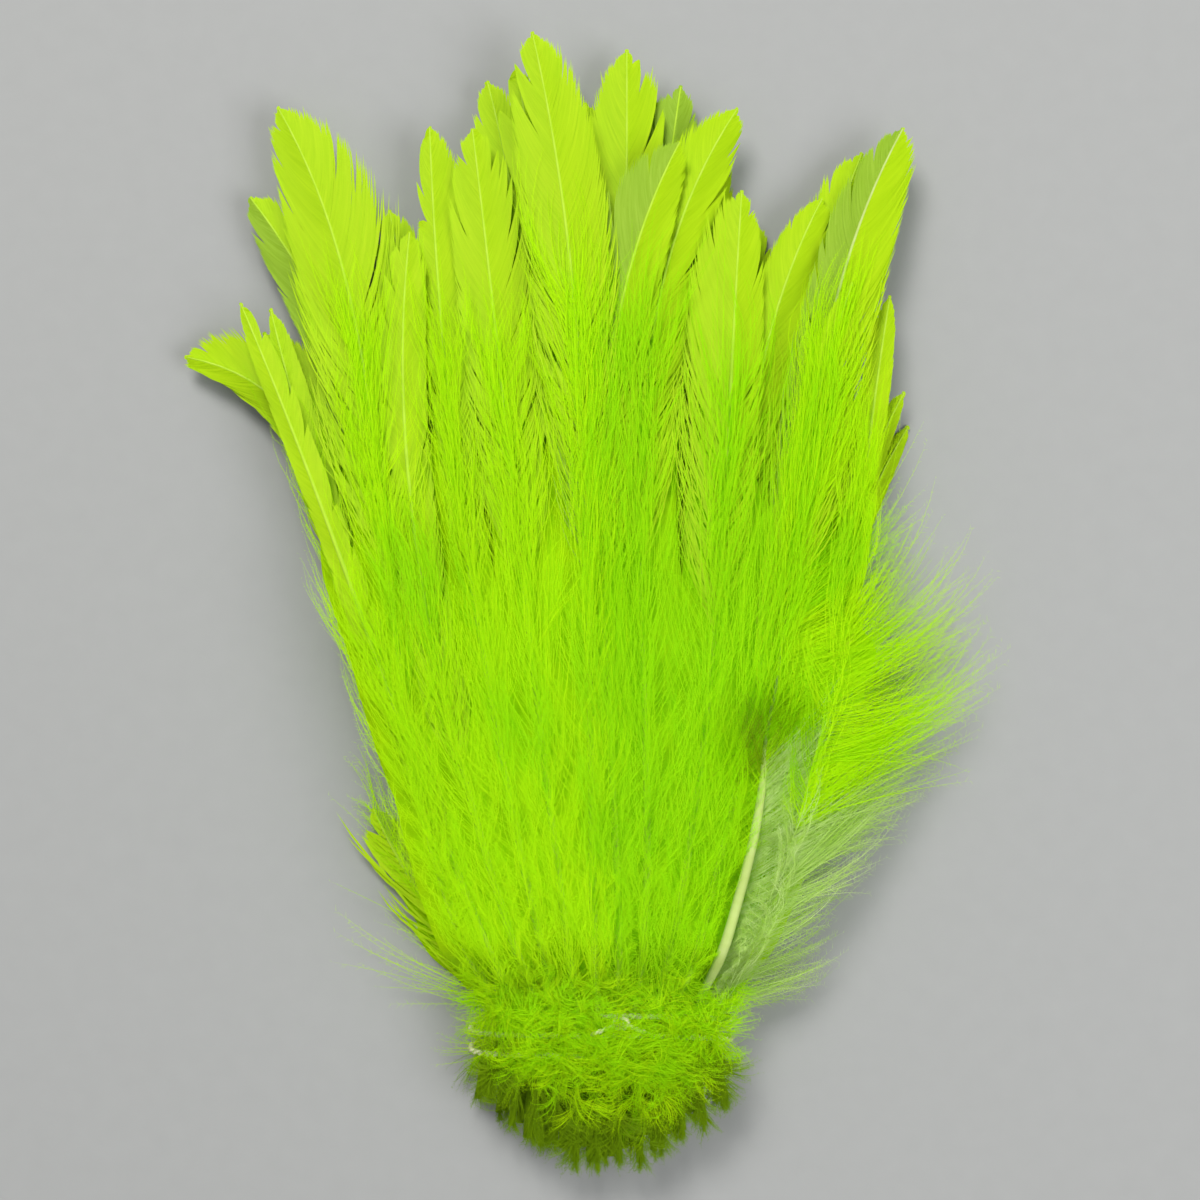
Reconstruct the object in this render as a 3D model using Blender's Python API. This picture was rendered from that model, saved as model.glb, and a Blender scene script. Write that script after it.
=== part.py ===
"""Strung bunch of dyed hackle feathers, lying flat, with the quills tied by a cotton string.

The bunch is drawn in millimetres, tips towards +Y, seen from above as it lies on a table at z = 0.
It is moved at the end so that the middle of its bounding box's underside is the origin.
Three rows of twelve quills pass through the string. Above it each feather rises to a height of its
own in the pile, its rank, so that the feathers overlap without touching.
"""

import math

import bmesh
import bpy
from mathutils import Vector

MM = 0.001

# The tie: where the string crosses the quills, and how the quills are spaced in it
TIE_X, TIE_Y = 1.5, -61.5
COLUMNS, COLUMN_PITCH = 12, 2.7
ROW_RISE = 2.2
ROW_SHIFT = COLUMN_PITCH / 3
FAN_DEG = 30.0

# Quills, each straight for the stretch that is held, and trimmed to a rounded end below the tie
QUILL_RADIUS = 0.65
TIP_RADIUS = 0.14
HELD = 2.9
STUB_LONGEST, STUB_ROUNDING, STUB_STEP = 18.5, 8.5, 0.8
STUB_FLARE = 1.12
STUB_TAPER = 0.8
STUB_LIFT, STUB_RISE = 0.9, 3.1
STUB_SWEEP_DEG = -30.0
# Tufts on a stub, from the cut end: share of the stub, reach, and reach on the bunch's outer side
STUB_TUFTS = ((1.0, 0.4, 0.8), (0.84, 1.2, 3.0), (0.64, 0.5, 0.8), (0.48, 1.15, 3.6), (0.26, 0.0, 0.0))

# String: two turns of cotton round the quills, with a knot on top
STRING_DIAMETER = 0.9
STRING_HALF_WIDTH = 18.4
STRING_SPREAD = 5.6
STRING_TURNS, STRING_STEPS, STRING_SIDES = 2, 24, 6
STRING_CORNER = 6.0
GAP = 0.3
KNOT_X, KNOT_Y = 4.4, -59.6
KNOT_RADIUS, KNOT_SINK = 1.1, 0.5
KNOT_STRETCH = (1.3, 1.0, 0.75)
TAIL_LENGTH, TAIL_TAPER, TAIL_SLOPE = 4.6, 0.9, 0.12
TAIL_DEG = {"tail_left": -160.0, "tail_right": -20.0}

# The pile above the tie
RISE_START, RISE_END = 4.6, 15.0
BODY_PITCH, TIP_PITCH = 1.42, 0.86
TIPS_FROM, TIPS_TO = 5.0, 62.0
FLOOR_LIFT = 0.3
EDGE_X, EDGE_THINNING = 58.0, 0.45

# Which of its row's four heights each feather takes, counted from the lowest, repeated along the row
ORDER = (1, 3, 2, 0)

# Outline of a feather
DOWN_START, DOWN_START_SHARE = 13.0, 0.35
DOWN_SHARE, SHORTEST_VANE = 0.6, 2.0
FIRST_VALLEY_SHARE, VALLEY_SHARE = 0.4, 0.55
LOCK_SWEEP_DEG = 38.0
LOCK_TIP_SHARE = 0.62
LOCK_VARIETY, LOCK_TURN = 0.16, 2.1
OUTER_LOCKS = 2
SKIRT_START, SKIRT_TIP, SKIRT_REACH = 4.6, 8.5, 17.0
VANE_SWEEP_DEG = 24.0
VANE_FOOT_SHARE = 0.86
CAMBER, CAMBER_WIDTH = 0.22, 6.0
# Rounded end of a vane: distance from the tip in vane widths, and share of the full width
VANE_END = ((1.6, 0.98), (0.9, 0.9), (0.42, 0.68), (0.13, 0.38), (0.0, 0.0))
# Tips that are longer and sharper than that, or shorter and blunter, as shares of its distances
TIP_STRETCH = {
    "middle_feather_01": 0.4,
    "top_feather_02": 2.4,
    "middle_feather_02": 2.4,
    "top_feather_10": 1.8,
    "top_feather_12": 2.0,
    "middle_feather_12": 2.0,
    "bottom_feather_12": 2.0,
}
# The down of the topmost feathers stands up above the shaft: at a lock's tip, and its share elsewhere
DOWN_LOFT, LOFT_BETWEEN, LOFT_SIDE = 1.9, 0.6, 1.2

# Each feather of a row, left to right: tip x, tip y, lean at the tip in degrees (to the right is
# positive), half-widths of the left and right vane, reach of the left and right down locks.
TOP_ROW = (
    (-44.2, 69.7, -30, 8.2, 8.2, 6, 6),
    (-49.3, 41.8, -24, 2.0, 2.4, 7, 5),
    (-25.4, 51.7, 6, 3.4, 3.6, 7, 6),
    (-22.7, 66.8, -2, 2.4, 4.4, 7, 6),
    (-16.6, 66.4, -7, 5.2, 6.2, 7, 7),
    (-8.1, 79.6, -13, 6.6, 6.2, 7, 7),
    (12.6, 64.4, 28, 6.6, 5.6, 7, 7),
    (20.8, 69.4, 34, 5.6, 4.6, 7, 7),
    (21.4, 57.6, 4, 5.0, 4.4, 6, 7),
    (36.9, 44.6, 20, 2.4, 2.6, 6, 8),
    (44.2, 66.6, 29, 4.2, 7.0, 6, 14),
    (42.4, 42.9, 10, 2.4, 2.2, 6, 17),
)
MIDDLE_ROW = (
    (-57.6, 34.6, -80, 4.6, 4.6, 6, 5),
    (-45.3, 41.1, -14, 1.8, 2.8, 6, 5),
    (-48.4, 57.3, -38, 5.0, 5.6, 7, 6),
    (-28.6, 55.4, -12, 5.0, 5.0, 7, 6),
    (-14.6, 73.6, -15, 5.0, 5.4, 7, 7),
    (-10.4, 75.0, -11, 5.4, 5.4, 7, 7),
    (5.2, 77.9, 0, 6.6, 7.0, 7, 7),
    (12.9, 73.1, 9, 6.0, 5.0, 7, 7),
    (22.0, 51.0, 6, 5.4, 4.8, 6, 7),
    (32.9, 56.9, 28, 3.6, 5.0, 6, 7),
    (38.6, 63.4, 22, 4.8, 4.8, 6, 9),
    (44.7, 29.5, 30, 2.4, 2.0, 6, 21),
)
BOTTOM_ROW = (
    (-31.0, -30.0, -24, 4.6, 4.2, 12, 4),
    (-46.5, 38.0, -34, 6.2, 6.2, 8, 5),
    (-40.0, 50.0, -30, 6.4, 6.0, 8, 6),
    (-21.2, 56.6, -8, 6.4, 6.4, 7, 7),
    (-12.7, 63.7, -8, 6.6, 6.6, 7, 7),
    (-0.7, 70.8, -4, 6.6, 6.6, 7, 7),
    (9.2, 71.5, 5, 6.6, 6.6, 7, 7),
    (17.3, 66.6, 10, 6.4, 6.4, 7, 7),
    (23.4, 54.5, 6, 6.0, 5.0, 6, 7),
    (29.7, 42.5, 8, 5.6, 5.6, 6, 8),
    (36.8, 31.2, 12, 5.2, 5.2, 6, 10),
    (45.6, 24.8, 32, 2.0, 2.0, 6, 23),
)
ROWS = (("bottom", BOTTOM_ROW, 3), ("middle", MIDDLE_ROW, 3), ("top", TOP_ROW, 4))

# Dyed colours, linear, and finishes
FEATHER_COLOUR = (0.42, 0.80, 0.004, 1.0)
STRING_COLOUR = (0.76, 0.78, 0.42, 1.0)
FEATHER_ROUGHNESS, STRING_ROUGHNESS = 0.72, 0.9
SHARP_DEG = 40.0


def mix(a, b, share):
    """The value that lies a share of the way from a to b."""
    return a + (b - a) * share


def smooth(low, high, value):
    """0 below low, 1 above high, and a smooth step between."""
    share = min(1.0, max(0.0, (value - low) / (high - low)))
    return share * share * (3 - 2 * share)


def heading(degrees):
    """A unit vector in plan: 0 looks along +Y, and positive turns to the right."""
    return Vector((math.sin(math.radians(degrees)), math.cos(math.radians(degrees))))


def tie_height(row):
    """Height of a row's quill axes where the string crosses them."""
    return STRING_DIAMETER + 2 * GAP + QUILL_RADIUS + row * ROW_RISE


def pile_height(rank, x, y):
    """Height of a feather's mid-surface in the pile above the tie."""
    pitch = mix(BODY_PITCH, TIP_PITCH, smooth(TIPS_FROM, TIPS_TO, y))
    thinning = 1 - EDGE_THINNING * min(1.0, abs(x - TIE_X) / EDGE_X) ** 2
    return FLOOR_LIFT + rank * pitch * thinning


def height(rank, x, y):
    """Height of a feather's mid-surface at any point, from the stub's end to the tip."""
    row = rank // len(ORDER)
    if y < TIE_Y:
        share = smooth(STRING_SPREAD / 2, STUB_LONGEST, TIE_Y - y)
        return mix(tie_height(row), STUB_LIFT + row * STUB_RISE, share)
    share = smooth(RISE_START, RISE_END, y - TIE_Y)
    return mix(tie_height(row), pile_height(rank, x, y), share)


def spine_points(held, start_deg, tip, tip_deg, count=160):
    """Plan points of a feather's shaft: straight through the tie, then one cubic curve to the tip."""
    start = held + Vector((0.0, HELD))
    chord = (tip - start).length
    leave, arrive = heading(start_deg) * chord, heading(tip_deg) * chord
    points = [held]
    for i in range(count + 1):
        u = i / count
        points.append(
            start * (2 * u**3 - 3 * u**2 + 1)
            + leave * (u**3 - 2 * u**2 + u)
            + tip * (3 * u**2 - 2 * u**3)
            + arrive * (u**3 - u**2)
        )
    return points


def along(points, distance):
    """The point and direction at a distance along a run of plan points."""
    for a, b in zip(points, points[1:]):
        step = (b - a).length
        if distance <= step:
            return a.lerp(b, distance / step), (b - a).normalized()
        distance -= step
    return points[-1].copy(), (points[-1] - points[-2]).normalized()


def stations(length, left, right, down_left, down_right, locks, outward, phase, stretch):
    """(distance from the tie, left width, right width, sweep in degrees, loft share) up a feather."""
    width = left + right
    down_end = min(DOWN_SHARE * length, length - SHORTEST_VANE * width)
    down_start = min(DOWN_START, DOWN_START_SHARE * length)
    found = [(0.0, 0.0, 0.0, 0.0, 0.0), (SKIRT_START, 0.0, 0.0, 0.0, 0.0)]
    if outward:
        locks += OUTER_LOCKS
        skirt = (0.0, SKIRT_REACH) if outward > 0 else (SKIRT_REACH, 0.0)
        found.append((SKIRT_TIP, *skirt, LOCK_SWEEP_DEG, 0.0))
    pitch = (down_end - down_start) / locks
    for i in range(locks):
        foot = down_start + i * pitch
        grown = 0.5 + 0.5 * math.sin(math.pi * (i + 1) / (locks + 1))
        grown *= 1 + LOCK_VARIETY * math.sin(phase + LOCK_TURN * i)
        valley = FIRST_VALLEY_SHARE if i == 0 else VALLEY_SHARE
        found.append((foot, valley * left, valley * right, 0.0, LOFT_BETWEEN if i else 0.0))
        tip = foot + LOCK_TIP_SHARE * pitch
        found.append((tip, down_left * grown, down_right * grown, LOCK_SWEEP_DEG, 1.0))
    end_start = length - VANE_END[0][0] * width * stretch
    vane = [(down_end, VANE_FOOT_SHARE), (mix(down_end, end_start, 0.5), 1.0)]
    vane += [(length - widths * width * stretch, share) for widths, share in VANE_END]
    for distance, share in vane:
        sweep = VANE_SWEEP_DEG * (length - distance) / (length - down_end)
        found.append((distance, left * share, right * share, sweep, 0.0))
    return found


def ring(centre, direction, rank, radius, left, right, sweep_deg, loft=0.0):
    """Six points round a feather's shaft: the vane edges, and the shaft's top and underside."""
    across = Vector((direction.y, -direction.x))
    forward = math.tan(math.radians(sweep_deg))
    half, rise = radius / 2, radius * math.sqrt(3) / 2
    corners = (
        (-max(left, radius), 0.0),
        (-half - LOFT_SIDE * loft, rise + loft),
        (half + LOFT_SIDE * loft, rise + loft),
        (max(right, radius), 0.0),
        (half, -rise),
        (-half, -rise),
    )
    points = []
    for reach, lift in corners:
        beyond = max(0.0, abs(reach) - radius)
        place = centre + across * reach + direction * forward * beyond
        droop = CAMBER * min(1.0, beyond / CAMBER_WIDTH)
        z = height(rank, place.x, place.y) + lift - droop
        points.append(Vector((place.x, place.y, max(0.0, z))))
    return points


def stub_rings(start, rank, length, outward):
    """Rings of the trimmed quill below the tie, with its short tufts, from the cut end up."""
    end = Vector((TIE_X + (start.x - TIE_X) * STUB_FLARE, TIE_Y - length))
    direction = (start - end).normalized()
    found = []
    for share, tuft, side_tuft in STUB_TUFTS:
        left = side_tuft if outward < 0 else tuft
        right = side_tuft if outward > 0 else tuft
        radius = QUILL_RADIUS * mix(1, STUB_TAPER, share)
        centre = start.lerp(end, share)
        found.append(ring(centre, direction, rank, radius, left, right, STUB_SWEEP_DEG))
    return found


def solid_from(name, rings, material):
    """One closed solid skinned over a run of rings, flat at both ends."""
    mesh = bmesh.new()
    rows = [[mesh.verts.new(p * MM) for p in points] for points in rings]
    for low, high in zip(rows, rows[1:]):
        for i in range(len(low)):
            j = (i + 1) % len(low)
            mesh.faces.new((low[i], low[j], high[j], high[i]))
    mesh.faces.new(rows[0][::-1])
    mesh.faces.new(rows[-1])
    bmesh.ops.triangulate(mesh, faces=mesh.faces)
    bmesh.ops.recalc_face_normals(mesh, faces=mesh.faces)
    return object_from(name, mesh, material)


def object_from(name, mesh, material):
    """A smooth-shaded object of a mesh, which keeps its sharp edges."""
    data = bpy.data.meshes.new(name)
    mesh.to_mesh(data)
    mesh.free()
    data.materials.append(material)
    data.shade_smooth()
    data.set_sharp_from_angle(angle=math.radians(SHARP_DEG))
    made = bpy.data.objects.new(name, data)
    bpy.context.scene.collection.objects.link(made)
    return made


def feather(name, row, column, shape, locks, material):
    """One feather: its trimmed stub, its quill through the tie, down locks, vanes and tip."""
    tip_x, tip_y, tip_deg, left, right, down_left, down_right = shape
    rank = row * len(ORDER) + ORDER[column % len(ORDER)]
    half_row = (COLUMNS - 1) / 2
    from_middle = (column - half_row) / half_row
    start = Vector((TIE_X + from_middle * half_row * COLUMN_PITCH + (row - 1) * ROW_SHIFT, TIE_Y))
    spine = spine_points(start, FAN_DEG * from_middle, Vector((tip_x, tip_y)), tip_deg)
    length = sum((b - a).length for a, b in zip(spine, spine[1:]))
    outward = from_middle if abs(from_middle) == 1 else 0
    stub = STUB_LONGEST - STUB_ROUNDING * from_middle**2 - STUB_STEP * ((column + row) % len(ROWS))
    rings = stub_rings(start, rank, stub, outward)
    phase = rank + column
    stretch = TIP_STRETCH.get(name, 1.0)
    highest = DOWN_LOFT if rank == len(ROWS) * len(ORDER) - 1 else 0.0
    up = stations(length, left, right, down_left, down_right, locks, outward, phase, stretch)
    for distance, wide_left, wide_right, sweep, loft in up:
        centre, direction = along(spine, distance)
        radius = mix(QUILL_RADIUS, TIP_RADIUS, distance / length)
        rings.append(ring(centre, direction, rank, radius, wide_left, wide_right, sweep, highest * loft))
    return solid_from(name, rings, material)


def string_route():
    """Points of the string's axis: a flat coil round all the quills, from the top down the tie."""
    top = tie_height(len(ROWS) - 1) + QUILL_RADIUS + GAP + STRING_DIAMETER / 2
    bottom = tie_height(0) - QUILL_RADIUS - GAP - STRING_DIAMETER / 2
    middle, half = (top + bottom) / 2, (top - bottom) / 2
    steps = STRING_STEPS * STRING_TURNS
    points = []
    for i in range(steps + 1):
        turned = 2 * math.pi * i / STRING_STEPS
        s, c = math.sin(turned), math.cos(turned)
        x = TIE_X + STRING_HALF_WIDTH * math.copysign(abs(s) ** (2 / STRING_CORNER), s)
        z = middle + half * math.copysign(abs(c) ** (2 / STRING_CORNER), c)
        points.append(Vector((x, TIE_Y + STRING_SPREAD * (0.5 - i / steps), z)))
    return points


def tube_rings(points, radius, sides):
    """Round rings across a route, each square to the way the route runs there."""
    found = []
    for i, point in enumerate(points):
        ahead = points[min(i + 1, len(points) - 1)] - points[max(i - 1, 0)]
        across = ahead.normalized().cross(Vector((0, 1, 0))).normalized()
        up = across.cross(ahead.normalized())
        turns = [2 * math.pi * k / sides for k in range(sides)]
        found.append([point + (across * math.cos(t) + up * math.sin(t)) * radius for t in turns])
    return found


def string(material):
    """The cotton string: its coil, with the knot and the knot's two short tails joined on."""
    radius = STRING_DIAMETER / 2
    route = string_route()
    coil = solid_from("string", tube_rings(route, radius, STRING_SIDES), material)
    centre = Vector((KNOT_X, KNOT_Y, route[0].z + KNOT_SINK * KNOT_RADIUS))
    ball = bmesh.new()
    bmesh.ops.create_icosphere(ball, subdivisions=2, radius=KNOT_RADIUS * MM)
    bmesh.ops.scale(ball, vec=KNOT_STRETCH, verts=ball.verts)
    bmesh.ops.translate(ball, vec=centre * MM, verts=ball.verts)
    join(coil, object_from("knot", ball, material))
    for name, turn_deg in TAIL_DEG.items():
        turn = math.radians(turn_deg)
        away = Vector((math.cos(turn), math.sin(turn), TAIL_SLOPE))
        ends = [centre, centre + away * TAIL_LENGTH]
        join(coil, solid_from(name, tube_rings(ends, TAIL_TAPER * radius, STRING_SIDES), material))
    return coil


def join(body, piece):
    """Makes a hidden piece part of a body."""
    piece.hide_render = True
    piece.display_type = "WIRE"
    union = body.modifiers.new(piece.name, "BOOLEAN")
    union.operation = "UNION"
    union.object = piece


def dyed(name, colour, roughness):
    """A plain, dull material of one dye."""
    material = bpy.data.materials.new(name)
    material.use_nodes = True
    shader = material.node_tree.nodes["Principled BSDF"]
    shader.inputs["Base Color"].default_value = colour
    shader.inputs["Roughness"].default_value = roughness
    shader.inputs["Metallic"].default_value = 0.0
    return material


def centre_on_origin(parts):
    """Moves everything so that the middle of the bunch's bounding box is over the origin."""
    points = [vertex.co for part in parts for vertex in part.data.vertices]
    low = Vector([min(p[k] for p in points) for k in range(3)])
    high = Vector([max(p[k] for p in points) for k in range(3)])
    shift = -(low + high) / 2
    shift.z = 0.0
    for thing in bpy.data.objects:
        thing.location = shift


def main():
    for old in list(bpy.data.objects):
        bpy.data.objects.remove(old)
    dye = dyed("dyed_feather", FEATHER_COLOUR, FEATHER_ROUGHNESS)
    cotton = dyed("cotton", STRING_COLOUR, STRING_ROUGHNESS)
    parts = [string(cotton)]
    for row, (label, shapes, locks) in enumerate(ROWS):
        for column, shape in enumerate(shapes):
            parts.append(feather(f"{label}_feather_{column + 1:02d}", row, column, shape, locks, dye))
    centre_on_origin(parts)


main()
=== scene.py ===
"""Looks of the strung bunch of dyed hackle feathers: barbs, down, quills, string, floor and light.

Each feather is one mesh: a tapered quill, firm barbs that lie side by side in the vane, long soft
barbs with barbules in the down over a thin soft ground, and curled tufts of trimmed down round the
stub. Sizes are in millimetres, in the part's own drawing frame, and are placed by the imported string.
"""

import math

import bpy
import numpy as np
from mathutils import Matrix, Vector


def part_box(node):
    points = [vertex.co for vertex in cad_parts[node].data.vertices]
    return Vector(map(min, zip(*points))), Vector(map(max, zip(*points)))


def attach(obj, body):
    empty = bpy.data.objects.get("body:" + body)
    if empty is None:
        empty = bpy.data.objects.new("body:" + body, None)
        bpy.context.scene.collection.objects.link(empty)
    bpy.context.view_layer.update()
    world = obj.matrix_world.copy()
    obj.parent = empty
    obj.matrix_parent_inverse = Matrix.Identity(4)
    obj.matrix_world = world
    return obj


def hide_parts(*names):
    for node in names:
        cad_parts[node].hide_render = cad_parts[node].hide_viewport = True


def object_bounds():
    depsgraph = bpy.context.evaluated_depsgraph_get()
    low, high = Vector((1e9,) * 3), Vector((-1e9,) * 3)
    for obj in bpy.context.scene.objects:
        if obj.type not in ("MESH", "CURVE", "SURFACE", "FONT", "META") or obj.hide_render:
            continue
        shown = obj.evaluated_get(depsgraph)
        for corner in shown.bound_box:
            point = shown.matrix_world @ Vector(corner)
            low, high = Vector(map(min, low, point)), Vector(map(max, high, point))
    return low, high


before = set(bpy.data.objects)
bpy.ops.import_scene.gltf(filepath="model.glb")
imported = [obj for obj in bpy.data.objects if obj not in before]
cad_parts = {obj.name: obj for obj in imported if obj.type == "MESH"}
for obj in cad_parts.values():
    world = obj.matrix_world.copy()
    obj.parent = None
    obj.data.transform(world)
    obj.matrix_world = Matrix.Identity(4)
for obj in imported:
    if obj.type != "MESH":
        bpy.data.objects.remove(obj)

MM = 0.001
CAD_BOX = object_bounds()

# The tie and the pile, as in the part's source
TIE_X, TIE_Y = 1.5, -61.5
COLUMNS, COLUMN_PITCH = 12, 2.7
ROW_RISE = 2.2
ROW_SHIFT = COLUMN_PITCH / 3
FAN_DEG = 30.0
QUILL_RADIUS, TIP_RADIUS = 0.65, 0.14
HELD = 2.9
STUB_LONGEST, STUB_ROUNDING, STUB_STEP = 18.5, 8.5, 0.8
STUB_FLARE, STUB_TAPER = 1.12, 0.8
STUB_LIFT, STUB_RISE = 0.9, 3.1
STRING_DIAMETER = 0.9
STRING_HALF_WIDTH = 18.4
STRING_SPREAD = 5.6
STRING_TURNS = 2
STRING_CORNER = 6.0
GAP = 0.3
KNOT_X, KNOT_Y = 4.4, -59.6
KNOT_RADIUS, KNOT_SINK = 1.1, 0.5
TAIL_LENGTH, TAIL_SLOPE = 4.6, 0.12
TAILS_DEG = (-160.0, -20.0)
RISE_START, RISE_END = 4.6, 15.0
BODY_PITCH, TIP_PITCH = 1.42, 0.86
TIPS_FROM, TIPS_TO = 5.0, 62.0
FLOOR_LIFT = 0.3
EDGE_X, EDGE_THINNING = 58.0, 0.45
ORDER = (1, 3, 2, 0)
DOWN_START, DOWN_START_SHARE = 13.0, 0.35
DOWN_SHARE, SHORTEST_VANE = 0.6, 2.0
VANE_FOOT_SHARE = 0.86
VANE_END = ((1.6, 0.98), (0.9, 0.9), (0.42, 0.68), (0.13, 0.38), (0.0, 0.0))
TIP_STRETCH = {
    "middle_feather_01": 0.4,
    "top_feather_02": 2.4,
    "middle_feather_02": 2.4,
    "top_feather_10": 1.8,
    "top_feather_12": 2.0,
    "middle_feather_12": 2.0,
    "bottom_feather_12": 2.0,
}
SKIRT_START, SKIRT_REACH = 4.6, 17.0

# How finely shafts and outlines are worked out, and a step that keeps places apart
SHAFT_POINTS, OUTLINE_POINTS, TINY = 161, 600, 1e-6

# Each feather of a row, left to right: tip x, tip y, lean at the tip in degrees (to the right is
# positive), half-widths of the left and right vane, reach of the left and right down.
TOP_ROW = (
    (-44.2, 69.7, -30, 8.2, 8.2, 6, 6),
    (-49.3, 41.8, -24, 2.0, 2.4, 7, 5),
    (-25.4, 51.7, 6, 3.4, 3.6, 7, 6),
    (-22.7, 66.8, -2, 2.4, 4.4, 7, 6),
    (-16.6, 66.4, -7, 5.2, 6.2, 7, 7),
    (-8.1, 79.6, -13, 6.6, 6.2, 7, 7),
    (12.6, 64.4, 28, 6.6, 5.6, 7, 7),
    (20.8, 69.4, 34, 5.6, 4.6, 7, 7),
    (21.4, 57.6, 4, 5.0, 4.4, 6, 7),
    (36.9, 44.6, 20, 2.4, 2.6, 6, 8),
    (44.2, 66.6, 29, 4.2, 7.0, 6, 14),
    (42.4, 42.9, 10, 2.4, 2.2, 6, 17),
)
MIDDLE_ROW = (
    (-57.6, 34.6, -80, 4.6, 4.6, 6, 5),
    (-45.3, 41.1, -14, 1.8, 2.8, 6, 5),
    (-48.4, 57.3, -38, 5.0, 5.6, 7, 6),
    (-28.6, 55.4, -12, 5.0, 5.0, 7, 6),
    (-14.6, 73.6, -15, 5.0, 5.4, 7, 7),
    (-10.4, 75.0, -11, 5.4, 5.4, 7, 7),
    (5.2, 77.9, 0, 6.6, 7.0, 7, 7),
    (12.9, 73.1, 9, 6.0, 5.0, 7, 7),
    (22.0, 51.0, 6, 5.4, 4.8, 6, 7),
    (32.9, 56.9, 28, 3.6, 5.0, 6, 7),
    (38.6, 63.4, 22, 4.8, 4.8, 6, 9),
    (44.7, 29.5, 30, 2.4, 2.0, 6, 21),
)
BOTTOM_ROW = (
    (-31.0, -30.0, -24, 4.6, 4.2, 12, 4),
    (-46.5, 38.0, -34, 6.2, 6.2, 8, 5),
    (-40.0, 50.0, -30, 6.4, 6.0, 8, 6),
    (-21.2, 56.6, -8, 6.4, 6.4, 7, 7),
    (-12.7, 63.7, -8, 6.6, 6.6, 7, 7),
    (-0.7, 70.8, -4, 6.6, 6.6, 7, 7),
    (9.2, 71.5, 5, 6.6, 6.6, 7, 7),
    (17.3, 66.6, 10, 6.4, 6.4, 7, 7),
    (23.4, 54.5, 6, 6.0, 5.0, 6, 7),
    (29.7, 42.5, 8, 5.6, 5.6, 6, 8),
    (36.8, 31.2, 12, 5.2, 5.2, 6, 10),
    (45.6, 24.8, 32, 2.0, 2.0, 6, 23),
)

# How each row grows, in the order of the rows: label, shapes, spacing of the vane's barbs and of the
# down's, barbules on a barb of down, lowest and highest lift of the down, tufts round a stub
ROWS = (
    ("bottom", BOTTOM_ROW, 0.50, 1.25, 18, (-0.4, 0.4), 8),
    ("middle", MIDDLE_ROW, 0.36, 0.80, 26, (-0.3, 0.8), 8),
    ("top", TOP_ROW, 0.30, 0.28, 34, (0.2, 1.4), 60),
)

# Sides of feathers by row and number, with a minus for the left side, that are turned over and show
# their duller face, darker as painted shade, that are frayed, or whose barbs stand apart like a comb's
# teeth
UNDERSIDES_WITH_SHADE = (("top", -11), ("top", -7), ("middle", -8), ("middle", 8), ("middle", -3), ("bottom", 1))
FRAYED = (
    ("top", 2), ("top", -3), ("top", -4), ("top", 5), ("top", -6), ("top", 8),
    ("middle", 7), ("middle", -6), ("middle", -5), ("middle", -4),
    ("bottom", -3), ("bottom", -2),
)
COMBED = (("bottom", -1),)
# Feathers whose bare quill shows, with the distance up to which it does
BARE_QUILLS = {"top_feather_11": 36.0}
BARE_QUILL_LIFT, BARE_QUILL_GROWTH = 1.9, 1.25
# Feathers whose low down is pale, with the distance up to which it is: on the right, and on both
# sides of the outermost feathers
PALE_TO = {
    "top_feather_11": 40.0,
    "top_feather_12": 32.0,
    "middle_feather_12": 30.0,
    "bottom_feather_12": 24.0,
}
# The pale down is shorter than the rest, by this factor
PALE_LENGTH = 0.76
# Sides whose down stands out further than the locks of their solids
FLUFF = {
    ("top", 12): 22.0, ("top", 11): 18.0, ("middle", 11): 17.0, ("bottom", 11): 17.0,
    ("top", 5): 9.9, ("top", -6): 9.9, ("top", 8): 9.9, ("top", -9): 9.9, ("top", 9): 9.9,
    ("top", -10): 9.9, ("top", -1): 8.5, ("middle", -1): 9.5,
}
# Sides whose vane is wider than the solid's
WIDER_VANES = {("top", 8): 6.2, ("top", -9): 7.2}
# Feathers whose vane runs further down than the others' does, with its foot as a share of the length
LOW_VANES = {"top_feather_02": 0.36, "top_feather_03": 0.44}
# Feathers whose down is of a deeper green
DEEP_DOWN = ("top_feather_07", "top_feather_08", "top_feather_09", "top_feather_10", "middle_feather_10")
# How steeply a side of the vane slopes down from the shaft, where it isn't the usual slope
SLOPES = {("top", -11): 2.4, ("top", 11): -0.6, ("bottom", 1): 1.6}

# Barbs of the vane: where they begin, the angles at which they leave the shaft and end, how unevenly
# they grow, and how they lie on one another
VANE_OVERLAP, NEAR_TIP, TIP_MARGINS = 8.0, 0.4, (0.15, 0.1)
VANE_ANGLES_DEG = (42.0, 14.0)
VANE_TIP_ANGLES_DEG = (30.0, 8.0)
VANE_ANGLE_LIMITS_DEG = (12.0, 80.0)
VANE_STEPS, DOWN_STEPS, CUFF_STEPS = 5, 7, 4
ROOT_SHIFT, COMB_SPACING = 0.2, 2.6
FIRM_SPREAD_DEG, FIRM_REACH_SPREAD, REACH_RANGE = 1.5, 0.03, (-1.0, 0.5)
LONGEST_VANE_BARB = 26.0
VANE_BARB_WIDTH, WIDEST_SPACING = 1.5, 0.5
VANE_TAPER, BARB_END_SHARE = 3.5, 0.1
VANE_ROLL_DEG, VANE_ROLL_FADE, ROLL_SPREAD_DEG = 13.0, 0.5, 4.0
VANE_SLOPE, VANE_SLOPE_WIDTH, VANE_LIFT = 0.55, 3.0, 0.12
LAYERS, LAYER_STEP = 3, 0.02
RUFFLE, RUFFLE_LENGTH = 0.4, 2.9
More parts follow.
